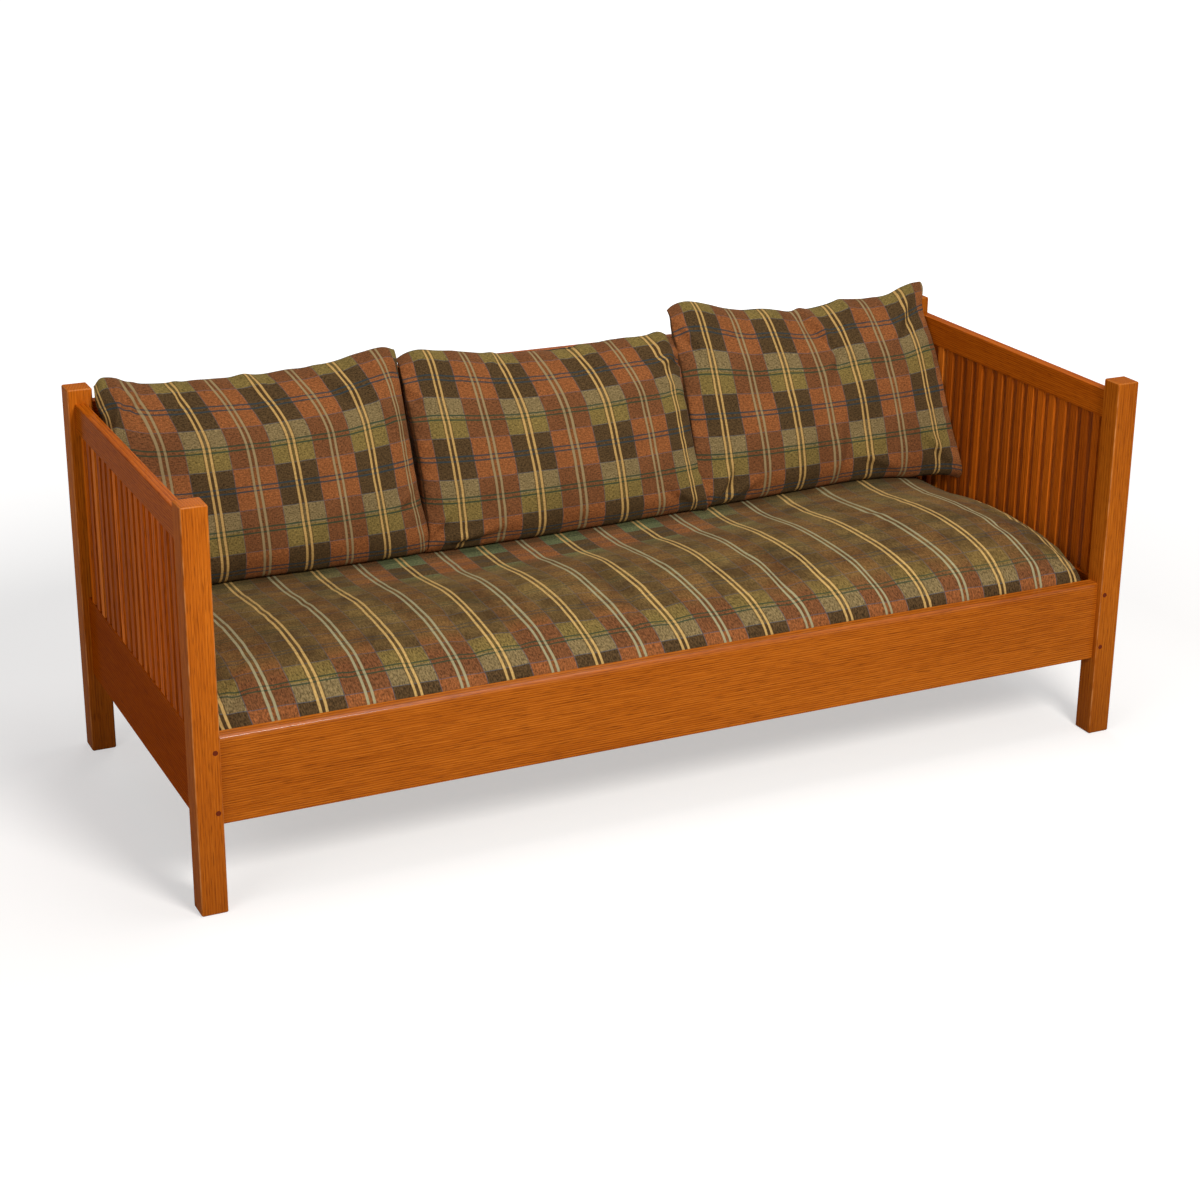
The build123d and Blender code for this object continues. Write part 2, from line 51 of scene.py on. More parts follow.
class Wire:
    """A shader socket that takes part in sums: each sign between two of them adds its Math node."""

    def __init__(self, tree, socket=None):
        self.tree = tree
        self.socket = socket

    def node(self, kind, settings=None, inputs=None, out=0):
        made = self.tree.nodes.new(kind)
        for name, value in (settings or {}).items():
            if name == "stops":
                ramp = made.color_ramp
                while len(ramp.elements) < len(value):
                    ramp.elements.new(0.5)
                for element, (place, colour) in zip(ramp.elements, value):
                    element.position = place
                    element.color = (*colour, 1)
            else:
                setattr(made, name, value)
        for name, value in (inputs or {}).items():
            if isinstance(value, Wire):
                self.tree.links.new(value.socket, made.inputs[name])
            else:
                made.inputs[name].default_value = value
        return Wire(self.tree, made.outputs[out])

    def math(self, operation, first, second=0.0, clamp=False):
        settings = {"operation": operation, "use_clamp": clamp}
        return self.node("ShaderNodeMath", settings, {0: first, 1: second})

    def mix(self, colour, other, share, blend="MIX"):
        settings = {"data_type": "RGBA", "blend_type": blend, "clamp_factor": True}
        both = [c if isinstance(c, Wire) else (*c, 1) for c in (colour, other)]
        return self.node("ShaderNodeMix", settings, {0: share, 6: both[0], 7: both[1]}, out=2)

    def clamped(self, gain):
        # Times the gain, and held between 0 and 1
        return self.math("MULTIPLY", self, gain, clamp=True)

    def most(self, other):
        return self.math("MAXIMUM", self, other)

    def axis(self, number):
        return self.node("ShaderNodeSeparateXYZ", inputs={0: self}, out=number)

    def mottle(self, per_metre, detail, roughness=0.5, distortion=0.0):
        # Smooth noise at this place; three numbers per metre stretch it along the axes
        place = self
        if isinstance(per_metre, tuple):
            place = self.node("ShaderNodeMapping", inputs={"Vector": self, "Scale": per_metre})
            per_metre = 1.0
        return self.node("ShaderNodeTexNoise", inputs={
            "Vector": place, "Scale": per_metre, "Detail": detail, "Roughness": roughness,
            "Distortion": distortion})

    def bump(self, strength, depth):
        # A shaded relief of which this is the height
        return self.node("ShaderNodeBump", inputs={
            "Strength": strength, "Distance": depth, "Height": self})

    def __add__(self, other):
        return self.math("ADD", self, other)

    def __sub__(self, other):
        return self.math("SUBTRACT", self, other)

    def __rsub__(self, other):
        return self.math("SUBTRACT", other, self)

    def __mul__(self, other):
        return self.math("MULTIPLY", self, other)

    def __truediv__(self, other):
        return self.math("DIVIDE", self, other)

    def __abs__(self):
        return self.math("ABSOLUTE", self)

    def __mod__(self, other):
        return self.math("FLOORED_MODULO", self, other)

    __radd__ = __add__
    __rmul__ = __mul__


def srgb(*levels):
    # A colour read as 0 to 255 levels, as the shader's linear numbers
    shares = [level / 255 for level in levels]
    return tuple(s / 12.92 if s <= 0.04045 else ((s + 0.055) / 1.055) ** 2.4 for s in shares)


def surface(name):
    # An empty material: its tree and its shader, ready to be wired
    material = bpy.data.materials.new(name)
    material.use_nodes = True
    shader = material.node_tree.nodes["Principled BSDF"]
    return material, Wire(material.node_tree), shader


def feed(wire, shader, **sockets):
    for name, value in sockets.items():
        socket = shader.inputs[name.replace("_", " ")]
        if isinstance(value, Wire):
            wire.tree.links.new(value.socket, socket)
        else:
            socket.default_value = (*value, 1) if socket.type == "RGBA" else value


def dress(names, material):
    for name in names:
        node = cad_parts[name]
        node.data.materials.clear()
        node.data.materials.append(material)


def arrises(place, low, high):
    # 1 along the edges of the square post that fills this box, 0 on its faces
    width, sharpness = 0.0026, 450
    middle, half = (low + high) / 2, (high.x - low.x) / 2
    sides = [abs(abs(place.axis(axis)) - middle[axis]) for axis in (0, 1)]
    one, other = ((side - (half - width)).clamped(sharpness) for side in sides)
    above = (place.axis(2) - (high.z - width)).clamped(sharpness)
    return (one * other).most(one.most(other) * above)


def oak(name, grain, heart, ring=0.0042, figure=0.42, tone_and_painted_light=(1, 1, 1), polish=0.06, sticks=None,
        painted_shade_below=None, edge_highlight_box=None, rubbed=None):
    # The grain runs along one axis, in rings round a heart line that lies outside the board.
    # ring: the width of one; figure: how strongly they show; tone_and_painted_light: the board's
    # own colour, for some parts times painted light or shade where that part stands lit or in shade;
    # polish: how much its varnish shines; sticks: axis, pitch and start of a row of sticks;
    # painted_shade_below: the height below which painted shade darkens it; edge_highlight_box: the
    # box of a post whose edges take a painted highlight; rubbed: the height above which hands have
    # polished it, and how much
    material, wire, shader = surface(name)
    place = wire.node("ShaderNodeTexCoord", out="Object")
    height = place.axis(2)
    turn = {"X": (0, math.radians(90), 0), "Y": (math.radians(90), 0, 0), "Z": (0, 0, 0)}[grain]
    along = wire.node("ShaderNodeMapping", inputs={"Vector": place, "Rotation": turn})
    if sticks:
        # Each stick comes from another board: a step in tone and place from one to the next
        axis, pitch, start = sticks
        stick = wire.math("FLOOR", (place.axis(axis) - start) / pitch)
        chance = wire.node("ShaderNodeTexWhiteNoise", {"noise_dimensions": "1D"}, {"W": stick * 1.37})
        shift = wire.node("ShaderNodeCombineXYZ", inputs={
            0: chance * 0.31, 1: chance * 0.17, 2: chance * 2.9})
        along = wire.node("ShaderNodeVectorMath", {"operation": "ADD"}, {0: along, 1: shift})
    rings = wire.node("ShaderNodeMapping", inputs={
        "Vector": along, "Location": (-heart[0], -heart[1], 0), "Scale": (1, 1, 0.05)})
    whole_wave = 0.314  # how far apart the rings of the pattern lie at scale 1
    growth = wire.node("ShaderNodeTexWave", {
        "wave_type": "RINGS", "rings_direction": "Z", "wave_profile": "SAW"}, {
        "Vector": rings, "Scale": whole_wave / ring, "Distortion": 3.2,
        "Detail": 2.0, "Detail Scale": 0.7, "Detail Roughness": 0.5}, out="Fac")
    broad = along.mottle((9, 9, 0.9), 2.0)
    streaks = along.mottle((520, 520, 12), 3.0, 0.65)
    pores = along.mottle((700, 700, 34), 1.0)
    pore = ((pores - 0.55) * 8).clamped(0.3 + growth * 0.9)
    light, middle, dark = (tuple(t * c for t, c in zip(tone_and_painted_light, srgb(*colour))) for colour in (
        (204, 116, 30), (174, 90, 17), (124, 56, 8)))
    level = (broad - 0.5) * 0.6 + (streaks - 0.5) * 0.95 - growth * figure + (0.52 + figure / 2)
    colour = wire.node("ShaderNodeValToRGB", {
        "stops": [(0.1, dark), (0.5, middle), (0.9, light)]}, {0: level})
    pore_stain_and_shade, edge_highlight_colour = srgb(96, 42, 8), srgb(232, 168, 104)
    colour = wire.mix(colour, pore_stain_and_shade, pore * 0.56)
    if sticks:
        colour = wire.mix(colour, srgb(104, 44, 12), (chance - 0.35) * 0.75)
        colour = wire.mix(colour, srgb(222, 138, 52), (0.3 - chance) * 0.9)
    if painted_shade_below:
        # Painted shade: darker towards the foot of the post, standing in for the light falling off lower
        # down
        colour = wire.mix(colour, pore_stain_and_shade, (painted_shade_below - height).clamped(1 / painted_shade_below) * 0.42)
    if edge_highlight_box:
        # Painted highlight: the eased edges are lightened in broken patches, standing in for light
        # catching their rounding
        highlight_breaks = (place.mottle(24.0, 3.0) - 0.34).clamped(3.2)
        colour = wire.mix(colour, edge_highlight_colour, arrises(place, *edge_highlight_box) * highlight_breaks * 0.62)
    if rubbed:
        start, shine = rubbed
        polish = polish + (height - start).clamped(160) * shine  # in full from 6 mm up
    relief = (1 - pore * 0.8 + streaks * 0.25).bump(0.35, 0.0005)
    feed(wire, shader, Base_Color=colour, Normal=relief, Roughness=0.36 + pore * 0.2 + streaks * 0.08,
         Coat_Weight=polish, Coat_Roughness=0.18, Specular_IOR_Level=0.0)
    return material


# The four posts stand alike round the middle, so one post's box gives the edges of all
post_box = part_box("back_right_post")
# Painted light: the left pair is toned lighter and the right pair darker, standing in for the lamp
# falling more on the left; both darken towards the foot with painted shade, and their edges take a
# painted highlight
dress(["front_left_post", "back_left_post"], oak(
    "oak_left_posts", "Z", (0.93, -0.31), ring=0.0052, figure=0.2, tone_and_painted_light=(1.1, 1.09, 1.1),
    painted_shade_below=0.5, edge_highlight_box=post_box))
dress(["front_right_post", "back_right_post"], oak(
    "oak_right_posts", "Z", (0.24, -0.9), ring=0.0047, figure=0.24, tone_and_painted_light=(0.87, 0.87, 0.87),
    painted_shade_below=0.3, edge_highlight_box=post_box))


# Rails. Boards with the grain lying along them, tenoned into the posts, sawn so that the
# rings show as fine, slightly wavy lines from end to end. The front rail's top edge is
# polished by the legs of those who sit.

dress(["front_rail"], oak(
    "oak_front_rail", "X", (1.3, -0.8), ring=0.0041, figure=0.5, tone_and_painted_light=(0.89, 0.89, 0.98),
    rubbed=(0.319, 0.4)))
dress(["back_lower_rail", "back_top_rail"], oak(
    "oak_back_rails", "X", (1.6, 0.5), ring=0.006, tone_and_painted_light=(0.9, 0.85, 0.8)))
# Painted shade: the side rails are toned darker and redder than the front and back ones, standing in for
# the shade on the arms' sides
dress(["left_lower_rail", "right_lower_rail"], oak(
    "oak_lower_rails", "Y", (0.3, 1.8), ring=0.005, tone_and_painted_light=(0.72, 0.5, 0.2), polish=0.015))
dress(["left_arm_rail", "right_arm_rail"], oak(
    "oak_arm_rails", "Y", (0.7, 1.8), tone_and_painted_light=(0.9, 0.76, 0.55)))


# Spindles. Square sticks sawn from many boards, so that no two beside each other match,
# stub-tenoned into the rails above and below: 18 in each arm and 48 in the back.

spindle_pitch = 0.0377
arm_start, back_start = -9 * spindle_pitch, -24 * spindle_pitch
# Painted light: the left arm's spindles are toned lighter than the right arm's, standing in for the light
# on the left arm's outer side and the shade on the right arm's inner side
for arm, tone_and_painted_light in (("left", (1.4, 1.14, 0.78)), ("right", (1.15, 1.0, 0.9))):
    dress([f"{arm}_spindles"], oak(
        f"oak_{arm}_spindles", "Z", (0.9, 0.2), tone_and_painted_light=tone_and_painted_light, sticks=(1, spindle_pitch, arm_start)))
dress(["back_spindles"], oak(
    "oak_back_spindles", "Z", (0.2, 0.9), sticks=(0, spindle_pitch, back_start)))


# Pegs. Round pegs driven through the tenons and trimmed almost flush: what shows is dark
# end grain.

def peg_wood():
    material, wire, shader = surface("peg_end_grain")
    specks = wire.node("ShaderNodeTexCoord", out="Object").mottle(1400.0, 2.0)
    colour = wire.mix(srgb(112, 44, 20), srgb(58, 22, 10), (specks - 0.4) * 3)
    feed(wire, shader, Base_Color=colour, Normal=specks.bump(0.3, 0.0003),
         Roughness=0.45 + specks * 0.15, Specular_IOR_Level=0.04)
    return material


dress(["front_pegs", "back_pegs"], peg_wood())


# Seat deck. Planed softwood cleats and slats, left bare because the cushion hides them,
# held with plated countersunk screws.

def deck_wood(name, grain):
    material, wire, shader = surface(name)
    place = wire.node("ShaderNodeTexCoord", out="Object")
    stretch = (4, 130, 130) if grain == "X" else (130, 4, 130)
    streaks = place.mottle(stretch, 3.0, distortion=0.6)
    fuzz = place.mottle(tuple(8 * rate for rate in stretch), 1.0)
    late, early, pale = srgb(176, 132, 82), srgb(205, 164, 112), srgb(222, 186, 136)
    colour = wire.node("ShaderNodeValToRGB", {
        "stops": [(0.3, late), (0.52, early), (0.72, pale)]}, {0: streaks})
    feed(wire, shader, Base_Color=colour, Normal=fuzz.bump(0.3, 0.0004), Roughness=0.62 + fuzz * 0.15)
    return material


dress(["front_cleat", "back_cleat"], deck_wood("deck_cleats", "X"))
dress([f"seat_slat_{number:02d}" for number in range(1, 16)], deck_wood("deck_slats", "Y"))


def screw_steel():
    material, wire, shader = surface("plated_steel")
    rub = wire.node("ShaderNodeTexCoord", out="Object").mottle(900.0, 2.0)
    colour = wire.mix(srgb(178, 172, 150), srgb(150, 148, 140), rub)
    feed(wire, shader, Base_Color=colour, Metallic=1.0, Roughness=0.3 + rub * 0.2)
    return material


dress(["cleat_screws", "slat_screws"], screw_steel())


# Foam cores. Blocks of pale foam cut with a hot wire, inside the covers and out of sight.

def foam():
    material, wire, shader = surface("foam")
    place = wire.node("ShaderNodeTexCoord", out="Object")
    cells = wire.node("ShaderNodeTexVoronoi", {"feature": "DISTANCE_TO_EDGE"}, {
        "Vector": place, "Scale": 420.0})
    colour = wire.mix(srgb(206, 190, 140), srgb(236, 224, 184), cells * 2.2)
    feed(wire, shader, Base_Color=colour, Normal=cells.bump(0.5, 0.0008), Roughness=0.8 + cells * 0.1)
    return material


foam_block = foam()


def cut_foam(name, node, body, easing):
    # The core keeps to its own space: a block with eased edges, whose top front edge is set
    # back where the solid's is
    low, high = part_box(node)
    centre = (low + high) / 2
    bpy.ops.object.select_all(action="DESELECT")
    bpy.ops.mesh.primitive_cube_add(size=1, location=centre, scale=high - low)
    block = bpy.context.object
    block.name = name
    bpy.ops.object.transform_apply(location=True, rotation=True, scale=True)
    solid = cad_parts[node].data
    top_front = min(v.co.y for v in solid.vertices if v.co.z > high.z - easing)
    for vertex in block.data.vertices:
        if vertex.co.z > centre.z and vertex.co.y < centre.y:
            vertex.co.y = max(vertex.co.y, top_front)
    edge = block.modifiers.new("easing", "BEVEL")
    edge.width, edge.segments, edge.limit_method = easing, 4, "NONE"
    bpy.ops.object.modifier_apply(modifier=edge.name)
    bpy.ops.object.mode_set(mode="EDIT")
    bpy.ops.mesh.select_all(action="SELECT")
    bpy.ops.mesh.subdivide(number_cuts=3)
    bpy.ops.object.mode_set(mode="OBJECT")
    bpy.ops.object.shade_smooth_by_angle(angle=math.radians(40))
    block.data.materials.append(foam_block)
    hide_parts(node)
    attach(block, body)


# Bench cushion. One long cover of plaid chenille round the foam: a single width runs up the
# front, over the top and down the back, and an end panel is sewn in at each arm.

check_across, check_down = 0.089, 0.0815


def plaid(name, bench=False):
    # The check repeats every two blocks both ways, on the cloth's own measure in metres
    material, wire, shader = surface(name)
    measure = wire.node("ShaderNodeUVMap", {"uv_map": "cloth"})
    waver = wire.node("ShaderNodeTexNoise", inputs={
        "Vector": measure, "Scale": 16.0, "Detail": 2.0}, out=1)
    pulled = wire.node("ShaderNodeVectorMath", {"operation": "MULTIPLY_ADD"}, {
        0: waver, 1: (0.0024, 0.0024, 0), 2: measure})
    across, down = pulled.axis(0), pulled.axis(1)
    weave = ((300, 170, 1), (560, 90, 1)) if bench else ((150, 600, 1), (560, 210, 1))
    threads, slubs = (measure.mottle(rates, 2.0, 0.65) for rates in weave)
    nap = measure.mottle(11.0, 3.0)
    fleck = (threads * 0.55 + slubs * 0.45 - 0.38).clamped(4.2)

    column = across / check_across + 0.5
    odd_column = wire.math("FLOOR", column) % 2
    from_middle = abs(wire.math("FRACT", column) - 0.5) * check_across
    row = down / check_down
    odd_row = wire.math("FLOOR", row) % 2
    below = (wire.math("FRACT", row) - 0.5) * check_down
    from_centre = abs(below)

    # The blocks, each flecked with a darker yarn
    brown = wire.mix(srgb(96, 73, 45), srgb(44, 34, 20), fleck)
    rust = wire.mix(srgb(162, 98, 54), srgb(92, 55, 30), fleck)
    tan_olive = wire.mix(srgb(148, 127, 86), srgb(78, 66, 42), fleck)
    yellow_olive = wire.mix(srgb(142, 120, 66), srgb(78, 66, 34), fleck)
    brick = wire.mix(srgb(134, 84, 50), srgb(74, 47, 28), fleck)
    olive = wire.mix(tan_olive, yellow_olive, (below + 0.001).clamped(600))
    even_blocks = wire.mix(brown, olive, odd_row)
    odd_blocks = wire.mix(rust, brick, odd_row)
    ground = wire.mix(even_blocks, odd_blocks, odd_column)

    thread = 0.0011

    def line(distance, half):
        # 0 outside half the line's width, and 1 from a thread further in
        return (half - distance).clamped(1 / thread)

    # The blocks' edges, 2.6 mm wide; two dark lines across the cloth, 4 mm wide and 9.2 mm
    # apart; and two pale lines along it, 6.2 mm wide and 11.6 mm apart, on a darker ground
    edge = line(check_across / 2 - from_middle, 0.0013) * 0.68
    edge = edge.most(line(check_down / 2 - from_centre, 0.0013) * 0.76)
    double = line(abs(from_centre - 0.0046), 0.0020)
    pair = line(abs(from_middle - 0.0058), 0.0031)
    between = line(from_middle, 0.0115)
    ground = wire.mix(ground, srgb(70, 52, 30), between * (0.5 - odd_column * 0.28))
    if bench:
        # Painted sheen: where people sit the pile lies flat and the checks fade into one brown bloom,
        # standing in for the sheen of the flattened pile; beside the back cushions they come back
        # greener, a painted sheen of the pile seen from another way
        seat_edge, back_edge, seat_middle = 0.166, 0.455, 0.47
        blotch = measure.mottle(5.5, 4.0, 0.62)
        rub = measure.mottle(22.0, 3.0, 0.6)
        patch = (blotch * 0.7 + rub * 0.3 - 0.36).clamped(3.8)
        far = (across - 0.45).clamped(0.05)
        flat_pile_sheen = (down + far - seat_edge + blotch * 0.05).clamped(19)
        back_sheen = (down - back_edge + blotch * 0.06).clamped(14)
        middle = (0.52 - abs(across - seat_middle)).clamped(5)
        green_sheen = wire.mix(srgb(98, 118, 80), srgb(52, 72, 52), fleck)
        ground = wire.mix(ground, green_sheen, back_sheen * (1 - odd_column) * odd_row * 0.85)
        bloom_sheen = wire.mix(srgb(80, 57, 32), srgb(134, 107, 60), patch)
        bloom_sheen = wire.mix(bloom_sheen, srgb(118, 74, 40), odd_column * 0.2)
        bloom_sheen = wire.mix(bloom_sheen, srgb(46, 35, 19), fleck * 0.66)
        ground = wire.mix(ground, bloom_sheen, flat_pile_sheen * (0.85 - back_sheen * middle * 0.72))
        edge = edge * (1 - flat_pile_sheen * 0.3)
        double = double * (1 - flat_pile_sheen * (0.5 - back_sheen * 0.3))
        pale = srgb(206, 170, 104), srgb(156, 152, 118)
    else:
        pale = srgb(198, 160, 96), srgb(146, 128, 92)
    ground = wire.mix(ground, srgb(78, 84, 92), edge if bench else edge * 0.74)
    dark_line = wire.mix(srgb(44, 58, 64), srgb(44, 62, 46), odd_row)
    ground = wire.mix(ground, dark_line, double * (1.0 - fleck * 0.2))
    pale_line = wire.mix(*pale, odd_column)
    pale_line = wire.mix(pale_line, srgb(128, 98, 56), fleck * 0.5 * (1 - odd_column * 0.5))
    cloth = wire.mix(ground, pale_line, pair * (0.94 - double * 0.3))
    shade = 0.74 + nap * 0.4
    tint = wire.node("ShaderNodeCombineXYZ", inputs={0: shade, 1: shade, 2: shade})
    cloth = wire.mix(cloth, tint, 1.0, blend="MULTIPLY")
    # Painted shade along the seams, where the cloth dips between the panels; the relief sinks there too
    seam = wire.node("ShaderNodeAttribute", {"attribute_name": "seam"}, out="Fac")
    seam_shade = (seam - 0.62).clamped(3.0)
    cloth = wire.mix(cloth, srgb(30, 23, 14), seam_shade * 0.8)
    relief = (threads * 0.6 + slubs * 0.5 - edge * 0.25 - seam_shade * 1.2).bump(0.75, 0.0016)
    feed(wire, shader, Base_Color=cloth, Normal=relief, Roughness=0.82 + threads * 0.12,
         Sheen_Weight=0.12, Sheen_Roughness=0.45, Sheen_Tint=srgb(210, 180, 130),
         Specular_IOR_Level=0.06)
    return material


def eased(table, place):
    # A value read from a table of (place, value), eased from one entry to the next
    places, values = np.array(table, float).T
    place = np.clip(place, places[0], places[-1])
    slopes = np.gradient(values, places)
    index = np.clip(np.searchsorted(places, place) - 1, 0, len(places) - 2)
    width = places[index + 1] - places[index]
    t = (place - places[index]) / width
    return ((1 + 2 * t) * (1 - t) ** 2 * values[index] + t * (1 - t) ** 2 * width * slopes[index]
            + t * t * (3 - 2 * t) * values[index + 1] + t * t * (t - 1) * width * slopes[index + 1])


def run_along(line):
    # How far each point of a line lies from its start, along the line
    return np.concatenate([[0], np.cumsum(np.linalg.norm(np.diff(line, axis=0), axis=1))])


def trace(stops, count):
    # Evenly spaced points along the line through the stops, once its corners have been eased
    stops = np.array(stops, float)
    for _ in range(3):
        ahead, after = stops[:-1], stops[1:]
        inner = np.column_stack([0.75 * ahead + 0.25 * after, 0.25 * ahead + 0.75 * after])
        stops = np.vstack([stops[:1], inner.reshape(-1, 2), stops[-1:]])
    run = run_along(stops)
    places = np.linspace(0, run[-1], count)
    return np.column_stack([np.interp(places, run, stops[:, 0]), np.interp(places, run, stops[:, 1])])


def ripple(x, y, z, size, seed):
    # Smooth unevenness between -1 and 1, of one size, the same on every run
    return noise.noise(Vector((x, y, z)) / size + Vector((seed, seed * 1.7, 3.1)))


def sew(name, points, quads, measure, held, seam):
    # Panels joined into one closed cover that keeps the cloth's own measure
    mesh = bpy.data.meshes.new(name)
    mesh.from_pydata([tuple(p) for p in points], [], quads)
    layer = mesh.uv_layers.new(name="cloth")
    layer.data.foreach_set("uv", np.array(measure, np.float32).ravel())
    stitched = mesh.attributes.new("seam", "FLOAT", "POINT")
    stitched.data.foreach_set("value", np.array(seam, np.float32))
    work = bmesh.new()
    work.from_mesh(mesh)
    bmesh.ops.recalc_face_normals(work, faces=work.faces)
    for face in work.faces:
        face.smooth = True
    work.to_mesh(mesh)
    work.free()
    piece = bpy.data.objects.new(name, mesh)
    bpy.context.scene.collection.objects.link(piece)
    group = piece.vertex_groups.new(name="held")
    for number, weight in enumerate(held):
        group.add([number], float(weight), "REPLACE")
    return piece


def read_points(piece):
    flat = np.empty(len(piece.data.vertices) * 3)
    piece.data.vertices.foreach_get("co", flat)
    return flat.reshape(-1, 3)


def evened(piece, values, rounds):
    # Values at the points, each averaged again and again with its neighbours'
    ends = np.empty(len(piece.data.edges) * 2, int)
    piece.data.edges.foreach_get("vertices", ends)
    one, other = ends.reshape(-1, 2).T
    count = 1 + np.bincount(one, minlength=len(values)) + np.bincount(other, minlength=len(values))
    for _ in range(rounds):
        total = [values[:, axis] + np.bincount(one, values[other, axis], len(values))
                 + np.bincount(other, values[one, axis], len(values)) for axis in range(3)]
        values = np.column_stack(total) / count[:, None]
    return values


def fill_out(piece, pressure, limit, slack, calm=1.0):
    # The stuffing presses the cover out and leaves it creased. The drawn shape is already a
    # full one, so the broad swelling is taken off again; no point moves further than the limit
    before = read_points(piece)
    normals = np.empty_like(before)
    piece.data.vertices.foreach_get("normal", normals.ravel())
    moments = 20
    scene = bpy.context.scene
    bpy.ops.object.select_all(action="DESELECT")
    bpy.context.view_layer.objects.active = piece
    piece.select_set(True)
    cloth = piece.modifiers.new("filling", "CLOTH")
    cloth.settings.quality = 6
    cloth.settings.mass = 0.25
    cloth.settings.tension_stiffness = 18
    cloth.settings.compression_stiffness = 18
    cloth.settings.shear_stiffness = 6
    cloth.settings.bending_stiffness = 0.6
    cloth.settings.use_pressure = True
    cloth.settings.uniform_pressure_force = pressure
    cloth.settings.shrink_min = -slack
    cloth.settings.vertex_group_mass = "held"
    cloth.settings.pin_stiffness = 2
    cloth.settings.effector_weights.gravity = 0
    cloth.collision_settings.use_collision = False
    cloth.point_cache.frame_start, cloth.point_cache.frame_end = 1, moments
    for moment in range(1, moments + 1):
        scene.frame_set(moment)
    bpy.ops.object.modifier_apply(modifier=cloth.name)
    scene.frame_set(1)
    swelling, rounds = 0.85, 40
    outward_share, sideways_share = 1.3, 0.4
    move = read_points(piece) - before
    move = move - swelling * evened(piece, move, rounds)
    outward = (move * normals).sum(axis=1, keepdims=True) * normals
    move = outward_share * outward + sideways_share * (move - outward)
    length = np.linalg.norm(move, axis=1, keepdims=True) + 1e-9
    return before + calm * move / length * limit * np.tanh(length / limit)


def finish_cover(piece, points, material, node, body):
    piece.data.vertices.foreach_set("co", points.ravel())
    piece.data.update()
    piece.vertex_groups.clear()
    fine = piece.modifiers.new("fine", "SUBSURF")
    fine.levels = fine.render_levels = 1
    piece.data.materials.append(material)
    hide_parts(node)
    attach(piece, body)


# The bench cushion stands on the deck at bench_base and reaches bench_half to either side.
# Then how high the filling stands along it, and how its section rises from the front rail
# and sinks to the shelf that the back cushions press down
bench_base, bench_half, bench_front = 0.2504, 0.906, -0.3624
bench_crown = [(-0.93, 0.112), (-0.905, 0.126), (-0.87, 0.144), (-0.80, 0.151), (-0.537, 0.153),
               (-0.182, 0.153), (0.10, 0.158), (0.352, 0.167), (0.53, 0.174), (0.708, 0.179),
               (0.80, 0.171), (0.88, 0.145), (0.905, 0.128), (0.93, 0.115)]
bench_section = [(-0.3624, 0.49), (-0.353, 0.59), (-0.341, 0.665), (-0.322, 0.74), (-0.303, 0.81),
                 (-0.272, 0.885), (-0.240, 0.937), (-0.197, 0.97), (-0.155, 0.988), (-0.105, 0.99),
                 (-0.058, 0.982), (0.0, 0.955), (0.044, 0.922), (0.09, 0.885), (0.141, 0.85),
                 (0.20, 0.84), (0.27, 0.84), (0.335, 0.835), (0.352, 0.80), (0.360, 0.72)]

# Sitting has dragged the top of the cloth sideways, so that its stripes bow: how far at each
# place along the bench, what share of that from front to back, and the turn of the last ones
bench_drag = [(-0.906, 0.0), (-0.716, 0.007), (-0.374, 0.019), (-0.288, 0.022), (0.1, 0.033),
              (0.402, 0.045), (0.48, 0.052), (0.58, 0.044), (0.683, 0.030), (0.80, 0.028),
              (0.906, 0.014)]
bench_bow = [(-0.362, 0.0), (-0.345, 0.06), (-0.31, 0.26), (-0.27, 0.5), (-0.22, 0.72), (-0.15, 0.92),
             (-0.08, 1.04), (-0.02, 1.08), (0.04, 0.98), (0.10, 0.80), (0.165, 0.58), (0.36, 0.4)]
bench_turn = [(0.55, 0.0), (0.69, 0.010), (0.80, 0.028), (0.906, 0.040)]


def dragged(x, y):
    turned = eased(bench_turn, x) * np.clip(y / 0.18, 0, 1)
    return float(eased(bench_drag, x) * eased(bench_bow, y) - turned)


def bench_height(x, y):
    return bench_base + eased(bench_crown, x) * eased(bench_section, y)


def bench_end(y):
    # Where the sewn end stands: only its front edge is a little rounded
    round_from, round_depth, pulled_back = -0.335, 0.028, 0.010
    turn = np.clip((round_from - y) / round_depth, 0, 0.999)
    return bench_half - pulled_back * (1 - np.sqrt(1 - turn * turn))


def bench_place(share, y):
    # Along the bench the cloth runs straight; only its last stretch follows the rounded end
    near = np.clip((abs(share) - 0.72) / 0.28, 0, 1)
    pulled_in = near * near * (bench_half - float(bench_end(y)))
    return share * bench_half - math.copysign(pulled_in, share)


